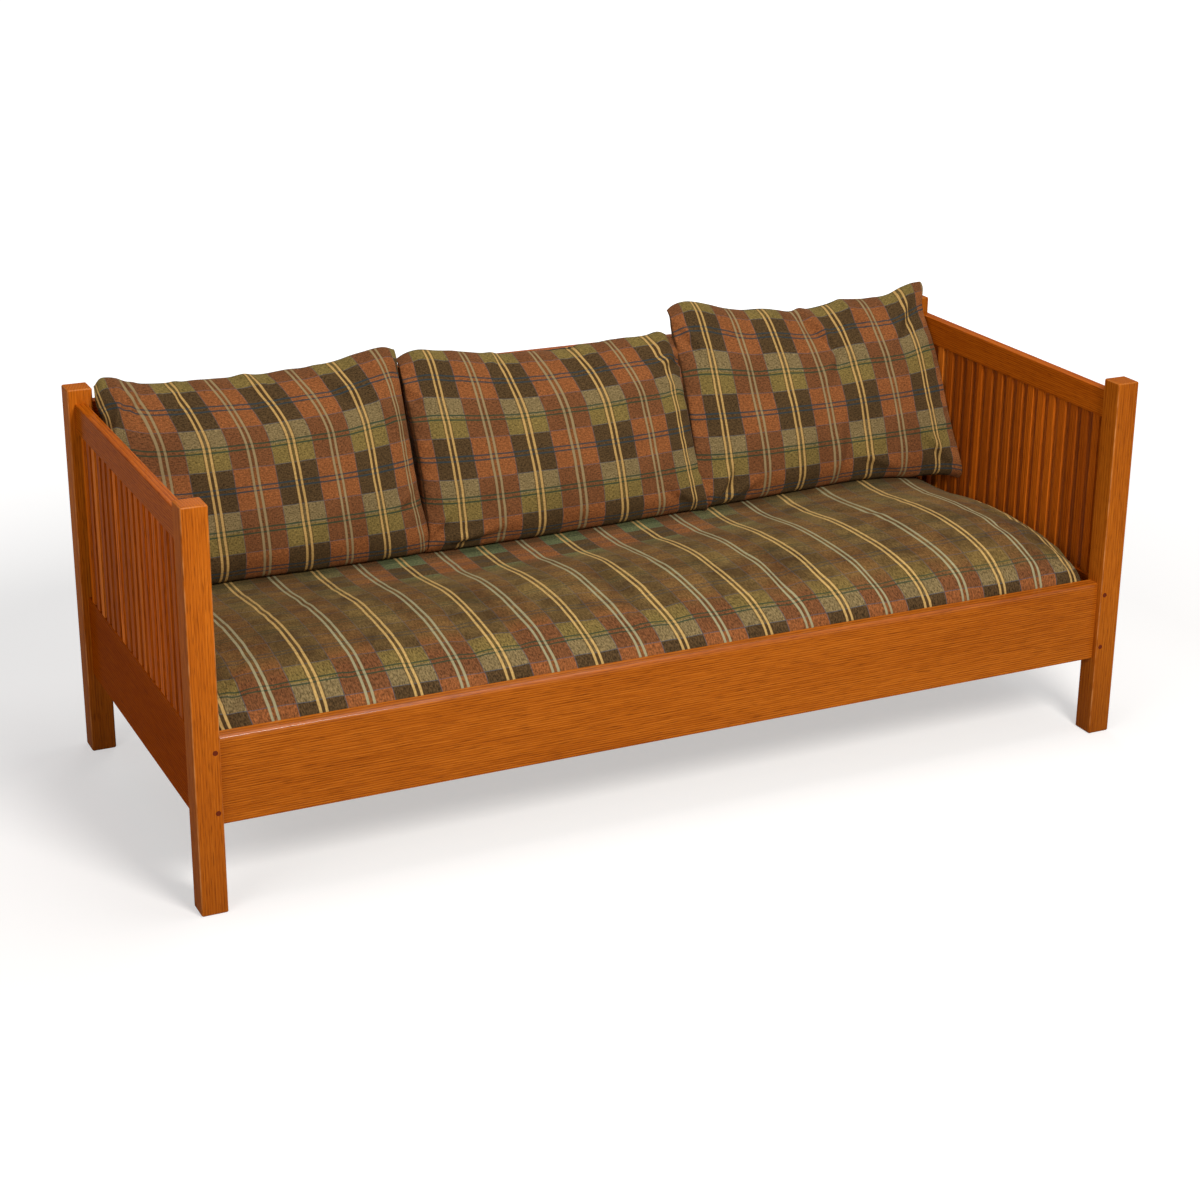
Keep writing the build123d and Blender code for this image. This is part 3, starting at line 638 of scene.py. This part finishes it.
def bench_cover():
    # rise counts the rows of points up the front, and over those across the top; the stations
    # along the bench stand closer towards its ends
    rise, over = 7, 72
    around = 2 * (rise + over)
    spread = np.linspace(-1, 1, 201)
    stations = spread * (1.12 - 0.12 * spread ** 2)
    # How the check lies: the middle of a column stands at check_start, and along the front
    # rail's top edge, rail_top above the deck, a row has already run for first_row
    check_start, rail_top, first_row = -0.537, 0.0776, 0.056
    points, lengths = [], []
    for share in stations:
        crown = float(eased(bench_crown, share * bench_half))
        front = trace([(-0.348, 0), (-0.358, 0.001), (-0.3622, 0.010), (bench_front, 0.03),
                       (bench_front, 0.38 * crown), (-0.362, 0.49 * crown)], rise + 1)
        top = trace([(y, level * crown) for y, level in bench_section], over + 1)
        top[0] = front[-1]
        back = trace([tuple(top[-1]), (0.3615, 0.62 * crown), (0.3622, 0.35 * crown),
                      (0.3620, 0.012), (0.357, 0.001), (0.348, 0)], rise + 1)
        under = np.column_stack([np.linspace(0.348, -0.348, over + 1), np.zeros(over + 1)])
        loop = np.vstack([front[:-1], top[:-1], back[:-1], under])
        run = run_along(loop)
        rail = np.interp(rail_top, loop[:rise + 12, 1], run[:rise + 12])
        lengths.append(run - rail + first_row)
        for y, z in loop[:-1]:
            # Soft lumps where the cloth lies loose, and gathers beside the end panels
            x = bench_place(share, y)
            lift = 0.0035 * ripple(x, y, 0, 0.16, 2.0) + 0.0016 * ripple(x, y, 0, 0.06, 5.0)
            loose = np.clip((z - 0.07) / 0.05, 0, 1) * np.clip((0.15 - y) / 0.08, 0, 1)
            pucker = 0.0022 * math.sin((y - z) / 0.0062 + 3 * ripple(x, y, z, 0.05, 9.0))
            near_end = np.clip((abs(share) - 0.955) / 0.04, 0, 1)
            points.append((x, y, bench_base + z + float(loose) * (lift + pucker * float(near_end))))
    count = len(stations)
    quads, measure = [], []

    def corner(station, step):
        return station * around + step % around

    for station in range(count - 1):
        for step in range(around):
            corners = ((station, step), (station + 1, step), (station + 1, step + 1), (station, step + 1))
            quads.append(tuple(corner(*place) for place in corners))
            for place in corners:
                x, y = stations[place[0]] * bench_half, points[corner(*place)][1]
                measure.append((x - check_start + dragged(x, y), lengths[place[0]][place[1]]))

    # End panels: each a grid of its own, joined to the long width's points all round, with
    # the check drawn a little closer together from front to back
    closer, panel_start, panel_foot = 1.18, 0.048, 0.268
    for station, side in ((0, -1), (count - 1, 1)):
        grid = {}
        for i in range(over + 1):
            high, low = points[corner(station, rise + i)], points[corner(station, around - i)]
            for r in range(rise + 1):
                if i in (0, over) or r in (0, rise):
                    step = {0: rise - r, over: rise + over + r}.get(i, rise + i if r == 0 else around - i)
                    grid[i, r] = corner(station, step)
                    continue
                share = r / rise
                y = high[1] + (low[1] - high[1]) * share
                z = high[2] + (low[2] - high[2]) * share
                bulge = 0.0075 * math.sqrt(math.sin(math.pi * share)) * min(1, i / 5, (over - i) / 5)
                grid[i, r] = len(points)
                points.append((side * (float(bench_end(y)) + bulge), y, z))
        for i in range(over):
            for r in range(rise):
                steps = ((i, r), (i + 1, r), (i + 1, r + 1), (i, r + 1))
                quads.append(tuple(grid[step] for step in steps))
                for step in steps:
                    x, y, z = points[grid[step]]
                    measure.append(((y - bench_front) * closer - panel_start, z - panel_foot))

    points = np.array(points)
    stitched = np.zeros(len(points))
    for station in (0, count - 1):
        stitched[station * around:(station + 1) * around] = 1
    # The cloth is held between the rails, under the back cushions and, less, along its seams
    rail_edge, seam_hold, panel_hold = 0.322, 0.9, 0.6
    held = np.clip((points[:, 1] - 0.02) / 0.14, 0, 1)
    held[points[:, 2] < rail_edge] = 1
    held = np.maximum(held, stitched * seam_hold)
    held[count * around:] = np.maximum(held[count * around:], panel_hold)
    cover = sew("bench_cover", points, quads, measure, held, stitched)
    # The creases die away towards the flat shelf under the back cushions
    back_share = np.clip((points[:, 1:2] + 0.12) / 0.22, 0, 1)
    calm = 1 - back_share ** 2 * (3 - 2 * back_share)
    points = fill_out(cover, pressure=2.5, limit=0.009, slack=0.008, calm=calm)
    # The arms stop it at its ends, the rails in front and behind, and the deck below
    arm_face, rail_face = 0.9148, 0.3626
    points[:, 0] = np.clip(points[:, 0], -arm_face, arm_face)
    points[:, 1] = np.clip(points[:, 1], -rail_face, rail_face)
    points[:, 2] = np.maximum(points[:, 2], bench_base)
    cloth = plaid("bench_plaid", bench=True)
    finish_cover(cover, points, cloth, "seat_cushion_cover", "seat_cushion")


bench_cover()
cut_foam("bench_foam", "seat_cushion_core", "seat_cushion", easing=0.034)


# Back cushions. Three loose cushions, each two panels of the same chenille sewn together all
# round and stuffed: they stand on the bench, lean on the back rail and slump a little.

# A cushion's height, half of its share of the bench and half of its sewn length; its front
# from bottom to top as (y, height); and by height where its side seams and rear panel stand
back_height, back_half, sewn_half = 0.357, 0.305, 0.3042
back_face = [(0.262, 0.0), (0.205, 0.0), (0.184, 0.002), (0.169, 0.014), (0.160, 0.036),
             (0.158, 0.056), (0.163, 0.080), (0.171, 0.105), (0.186, 0.145), (0.209, 0.190),
             (0.236, 0.234), (0.266, 0.274), (0.296, 0.313), (0.318, 0.338), (0.339, 0.353),
             (0.358, 0.357)]
side_seam = [(0.0, 0.206), (0.012, 0.190), (0.035, 0.188), (0.056, 0.196), (0.105, 0.220),
             (0.15, 0.238), (0.20, 0.260), (0.266, 0.298), (0.32, 0.331), (0.35, 0.346),
             (0.357, 0.356)]
heel = [(0.0, 0.352), (0.006, 0.361), (0.018, 0.3675), (0.04, 0.3683), (0.32, 0.3683),
        (0.342, 0.366), (0.357, 0.358)]


def back_cover(name, node, body, middle, tops, stripes, drift, leans, bulges, folds, seed):
    # tops: the height of the top edge along the cushion; stripes: the cloth's measure across it;
    # drift: how far the top edge has pulled the stripes aside; leans and bulges: how far the
    # left and right seams come forward and outward, up their height; folds: where the cloth has
    # creased, each at (x, z) with its slant, length, width and depth
    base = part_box(node)[0].z
    across, up = 96, 68
    face = trace(back_face, up + 1)
    run = run_along(face)
    # The checks' rows start where the face reaches this height
    row_start = float(np.interp(0.342, face[up // 2:, 1], run[up // 2:]))
    shares = np.sin(np.linspace(-math.pi / 2, math.pi / 2, across + 1))
    bottom = float(run[np.argmax(face[:, 1] > 0.01)])
    tangent = np.gradient(face, axis=0)
    outward = np.column_stack([-tangent[:, 1], tangent[:, 0]]) / np.linalg.norm(tangent, axis=1)[:, None]
    points, quads, measure, stitched, held = [], [], [], [], []

    def gathered(distance, reach, hem):
        # Strongest just inside the hem, and fading out over the reach
        return math.exp(-distance / reach) * (1 - math.exp(-distance / hem))

    def spot(share, row, panel):
        y_face, z = face[row]
        side = int(share > 0)
        underneath = max(0, 1 - run[row] / bottom)
        y_seam = float(eased(side_seam, z)) + 0.03 * underneath ** 2 * (1 - share ** 2) ** 0.5
        y_seam -= float(eased(leans[side], z)) * abs(share) ** 4
        if panel == "front":
            square = 3.2 + 3.0 * max(0, 1 - z / 0.15)
            y = y_seam + (y_face - y_seam) * (1 - abs(share) ** square) ** 0.5
        else:
            y_back = float(eased(heel, z)) if run[row] > bottom else 0.262 + 0.09 * run[row] / bottom
            y = y_seam + (y_back - y_seam) * (1 - abs(share) ** 12) ** 0.5
        waist = math.sin(math.pi * np.clip(z / back_height, 0, 1)) ** 0.7
        x = share * (sewn_half - (0.006 if panel == "front" else 0.004) * waist)
        x += math.copysign(float(eased(bulges[side], z)) * share ** 4, share)
        rise = np.clip((z - 0.15) / 0.2, 0, 1)
        z += (float(eased(tops, middle + x)) - base - back_height) * float(rise * rise * (3 - 2 * rise))
        # Gathers run in from the side seams and down from the top one, and the filling leaves
        # soft lumps
        inward = min(1 - abs(share), 0.5)
        side_gather = gathered(inward, 0.05, 0.012)
        top_gather = gathered(run[-1] - run[row], 0.045, 0.014) if panel == "front" else 0
        wave = math.sin(z / 0.0055 + 2.5 * ripple(x, y, z, 0.06, seed)) * 0.0038 * side_gather
        wave += math.sin(x / 0.0062 + 4.0 * ripple(x, y, z, 0.08, seed + 2)) * 0.0034 * top_gather
        wave += 0.0058 * ripple(x, 0, z, 0.13, seed + 4) * (1 - math.exp(-inward / 0.15))
        wave += 0.0026 * ripple(x, 0, z, 0.045, seed + 8) * (1 - math.exp(-inward / 0.1))
        if panel == "front":
            for fold_x, fold_z, lean, length, width, depth in folds:
                along = (x - fold_x) * math.cos(lean) + (z - fold_z) * math.sin(lean)
                off = (z - fold_z) * math.cos(lean) - (x - fold_x) * math.sin(lean)
                wave += depth * math.exp(-(along / length) ** 2) * (
                    math.exp(-(off / width) ** 2) - 0.7 * math.exp(-((off + 1.6 * width) / width) ** 2))
            wave *= float(np.clip(z / 0.03, 0, 1))
            y += wave * outward[row, 0]
            z += wave * outward[row, 1]
        # Its underside follows the bench
        lower = max(0, 1 - z / 0.12)
        rest = max(float(bench_height(middle + x, max(y, 0.15))) + 0.0008, base - 0.007)
        return middle + x, y, base + z + lower * (rest - base)

    for row in range(up + 1):
        for share in shares:
            points.append(spot(share, row, "front"))
            on_seam = row in (0, up) or abs(share) > 0.9999
            stitched.append(1.0 if on_seam else 0.0)
            held.append(0.85 if on_seam else max(0, 1 - run[row] / bottom))
    behind = {}
    for row in range(up + 1):
        for column, share in enumerate(shares):
            if row in (0, up) or column in (0, across):
                behind[row, column] = row * (across + 1) + column
            else:
                behind[row, column] = len(points)
                points.append(spot(share, row, "rear"))
                stitched.append(0.0)
                held.append(1.0)
    places = np.array([float(eased(stripes, share * back_half)) for share in shares])
    pulled = np.array([float(eased(drift, share * back_half)) for share in shares])
    top_share = np.clip((face[:, 1] - 0.25) / 0.107, 0, 1) ** 1.6
    for row in range(up):
        for column in range(across):
            steps = ((row, column), (row, column + 1), (row + 1, column + 1), (row + 1, column))
            quads.append(tuple(r * (across + 1) + c for r, c in steps))
            measure.extend((places[c] + pulled[c] * top_share[r], row_start - run[r]) for r, c in steps)
            quads.append(tuple(behind[step] for step in reversed(steps)))
            measure.extend((places[c] + pulled[c] * top_share[r], run[r] - row_start)
                           for r, c in reversed(steps))
    points = np.array(points)
    cover = sew(name, points, quads, measure, held, stitched)
    points = fill_out(cover, pressure=2.5, limit=0.008, slack=0.012)
    # The back rail, the posts and arms, and the bench cushion stop it
    rail_face, post_front, post_top = 0.3685, 0.345, 0.752
    points[:, 1] = np.minimum(points[:, 1], rail_face)
    by_post = (points[:, 1] > post_front) & (points[:, 2] < post_top)
    left, right = np.where(by_post, -0.9155, -0.9285), np.where(by_post, 0.9155, 0.9400)
    points[:, 0] = np.clip(points[:, 0], left, right)
    floor = bench_height(points[:, 0], np.maximum(points[:, 1], 0.15)) + 0.0006
    points[:, 2] = np.maximum(points[:, 2], np.where(points[:, 1] > 0.1, floor, 0))
    finish_cover(cover, points, back_plaid, node, body)


back_plaid = plaid("back_plaid")
back_cover(
    "left_back_cover", "left_back_cushion_cover", "left_back_cushion", -0.61027,
    tops=[(-0.916, 0.751), (-0.900, 0.766), (-0.883, 0.767), (-0.847, 0.754), (-0.776, 0.743),
          (-0.694, 0.741), (-0.622, 0.738), (-0.547, 0.742), (-0.447, 0.748), (-0.371, 0.763),
          (-0.329, 0.768), (-0.304, 0.761)],
    stripes=[(-0.305, -0.026), (-0.294, 0.0), (-0.208, 0.089), (-0.122, 0.178), (0.050, 0.356),
             (0.134, 0.445), (0.211, 0.534), (0.285, 0.623), (0.305, 0.660)],
    drift=[(-0.305, 0.02), (-0.122, 0.045), (0.05, 0.058), (0.211, 0.045), (0.305, 0.03)],
    leans=([(0.0, 0.0), (0.357, 0.0)], [(0.0, 0.0), (0.357, 0.0)]),
    bulges=([(0.0, 0.0), (0.30, 0.0), (0.345, 0.003), (0.357, 0.0)],
            [(0.0, -0.010), (0.1, -0.003), (0.37, 0.0)]),
    folds=[(0.0, 0.350, -0.46, 0.035, 0.009, 0.007), (-0.275, 0.325, 1.25, 0.045, 0.007, 0.008),
           (-0.245, 0.340, 1.05, 0.035, 0.007, 0.006), (-0.284, 0.285, 0.9, 0.03, 0.007, 0.006),
           (0.17, 0.335, -0.6, 0.04, 0.010, 0.006), (0.25, 0.29, -1.1, 0.05, 0.010, 0.006),
           (0.262, 0.12, 0.5, 0.03, 0.008, 0.006), (-0.16, 0.345, 0.9, 0.03, 0.008, 0.006)],
    seed=1.0)
back_cover(
    "middle_back_cover", "middle_back_cushion_cover", "middle_back_cushion", 0.0,
    tops=[(-0.305, 0.742), (-0.288, 0.750), (-0.261, 0.756), (-0.216, 0.750), (-0.161, 0.740),
          (-0.075, 0.728), (0.018, 0.726), (0.080, 0.727), (0.165, 0.731), (0.256, 0.734),
          (0.290, 0.739), (0.305, 0.728)],
    stripes=[(-0.305, -0.080), (-0.240, 0.0), (-0.155, 0.089), (-0.068, 0.178), (0.122, 0.356),
             (0.206, 0.445), (0.280, 0.534), (0.305, 0.580)],
    drift=[(-0.305, 0.0), (-0.24, 0.0), (-0.068, 0.024), (0.115, 0.040), (0.277, 0.040), (0.305, 0.03)],
    leans=([(0.0, 0.012), (0.357, 0.0)], [(0.0, 0.034), (0.2, 0.018), (0.30, 0.026), (0.357, 0.034)]),
    bulges=([(0.0, 0.008), (0.1, 0.002), (0.37, 0.0)],
            [(0.0, 0.009), (0.2, 0.007), (0.285, 0.010), (0.305, 0.015), (0.318, 0.006),
             (0.335, 0.014), (0.357, 0.012)]),
    folds=[(-0.225, 0.036, 0.12, 0.06, 0.009, 0.011), (-0.285, 0.065, 0.7, 0.035, 0.008, 0.008),
           (0.288, 0.312, 0.35, 0.022, 0.008, 0.007), (0.268, 0.27, -0.5, 0.03, 0.008, 0.006),
           (0.10, 0.350, -0.9, 0.03, 0.009, 0.006), (-0.10, 0.345, 0.8, 0.035, 0.009, 0.005),
           (0.255, 0.055, -0.7, 0.04, 0.009, 0.008), (-0.282, 0.30, -0.6, 0.03, 0.008, 0.006)],
    seed=14.0)
back_cover(
    "right_back_cover", "right_back_cushion_cover", "right_back_cushion", 0.61027,
    tops=[(0.305, 0.782), (0.316, 0.789), (0.349, 0.797), (0.404, 0.786), (0.477, 0.768),
          (0.539, 0.765), (0.608, 0.752), (0.683, 0.757), (0.723, 0.764), (0.812, 0.760),
          (0.853, 0.764), (0.888, 0.778), (0.915, 0.786)],
    stripes=[(-0.305, -0.080), (-0.241, 0.0), (-0.156, 0.089), (-0.070, 0.178), (0.103, 0.356),
             (0.188, 0.445), (0.268, 0.534), (0.295, 0.580), (0.305, 0.605)],
    drift=[(-0.305, 0.0), (-0.07, 0.008), (0.103, 0.022), (0.256, 0.02), (0.305, 0.02)],
    leans=([(0.0, 0.022), (0.357, 0.0)], [(0.0, 0.062), (0.1, 0.038), (0.25, 0.018), (0.357, 0.0)]),
    bulges=([(0.0, -0.014), (0.12, -0.006), (0.37, 0.0)],
            [(0.0, 0.016), (0.12, 0.020), (0.25, 0.019), (0.32, 0.014), (0.357, 0.028)]),
    folds=[(0.045, 0.322, -0.85, 0.055, 0.010, 0.015), (0.05, 0.262, 0.9, 0.035, 0.009, 0.010),
           (0.028, 0.09, 1.35, 0.06, 0.010, 0.008), (-0.262, 0.045, 1.0, 0.045, 0.009, 0.010),
           (-0.225, 0.030, 0.5, 0.05, 0.009, 0.008), (0.27, 0.075, -0.8, 0.045, 0.009, 0.009),
           (0.255, 0.33, 0.9, 0.04, 0.009, 0.009), (-0.27, 0.335, -0.9, 0.035, 0.008, 0.008),
           (0.14, 0.345, -0.7, 0.04, 0.009, 0.007), (0.13, 0.05, -0.4, 0.05, 0.010, 0.006)],
    seed=27.0)
for side in ("left", "middle", "right"):
    cut_foam(f"{side}_back_foam", f"{side}_back_cushion_core", f"{side}_back_cushion", easing=0.014)


# Surroundings. A pale seamless sweep under soft lamps, seen from the front left and a
# little above.

def shown(wire):
    # 1 for the rays that show the surroundings themselves, 0 for those that light the settle
    camera, glossy, through = (wire.node("ShaderNodeLightPath", out=f"Is {kind} Ray")
                               for kind in ("Camera", "Glossy", "Transmission"))
    return camera.most(glossy).most(through)


def sweep():
    bpy.ops.object.select_all(action="DESELECT")
    bpy.ops.mesh.primitive_plane_add(size=60)
    floor = bpy.context.object
    floor.name = "floor"
    material, wire, shader = surface("pale_sweep")
    place = wire.node("ShaderNodeTexCoord", out="Object")
    away = wire.node("ShaderNodeVectorMath", {"operation": "LENGTH"}, {0: place}, out="Value")
    far = (away - 1.5).clamped(0.4)
    glow = (0.48 + far * 0.52) * shown(wire)
    feed(wire, shader, Base_Color=srgb(200, 199, 198), Roughness=0.9, Specular_IOR_Level=0.0,
         Emission_Color=wire.mix((0, 0, 0), (1, 1, 1), glow), Emission_Strength=1.0)
    floor.data.materials.append(material)


sweep()


def lamp(name, place, aim, size, power, colour):
    light = bpy.data.lights.new(name, "AREA")
    light.shape, light.size, light.energy, light.color = "DISK", size, power, colour
    stand = bpy.data.objects.new(name, light)
    stand.location = place
    stand.rotation_euler = (Vector(aim) - Vector(place)).to_track_quat("-Z", "Y").to_euler()
    bpy.context.scene.collection.objects.link(stand)


# Each with its place, what it aims at, its width, its power in watts and its colour
lamp("key", (0.2, -3.6, 3.1), (0.0, 0, 0.45), 1.4, 158, (1, 0.97, 0.93))
lamp("fill", (-3.8, -2.4, 2.2), (0, 0, 0.4), 2.6, 46, (1, 0.98, 0.96))
lamp("overhead", (0.4, -0.1, 3.8), (0, 0, 0.3), 2.2, 44, (1, 0.99, 0.97))
lamp("behind", (1.4, 3.9, 2.4), (0, 0, 0.4), 2.6, 36, (1, 0.98, 0.96))

world = bpy.data.worlds.new("studio")
bpy.context.scene.world = world
world.use_nodes = True
sky = Wire(world.node_tree)
backdrop = sky.mix(srgb(114, 114, 116), srgb(255, 255, 255), shown(sky))
feed(sky, world.node_tree.nodes["Background"], Color=backdrop)

# The camera, solved from the corners of the posts and the edges of the rails
yaw, pitch, roll = (math.radians(angle) for angle in (26.728, 20.422, 0.945))
forward = Vector((math.sin(yaw) * math.cos(pitch), math.cos(yaw) * math.cos(pitch), -math.sin(pitch)))
right = Vector((math.cos(yaw), -math.sin(yaw), 0))
upward = right.cross(forward)
tilted = math.cos(roll) * right + math.sin(roll) * upward
upright = math.cos(roll) * upward - math.sin(roll) * right
lens = bpy.data.cameras.new("camera")
lens.lens, lens.sensor_width = 71.09, 36
lens.shift_x, lens.shift_y = -0.0379, -0.0162
camera = bpy.data.objects.new("camera", lens)
camera.matrix_world = Matrix.Translation((-1.9254, -3.9986, 1.9938)) @ Matrix(
    (tilted, upright, -forward)).transposed().to_4x4()
bpy.context.scene.collection.objects.link(camera)
bpy.context.scene.camera = camera
bpy.context.scene.view_settings.view_transform = "Standard"
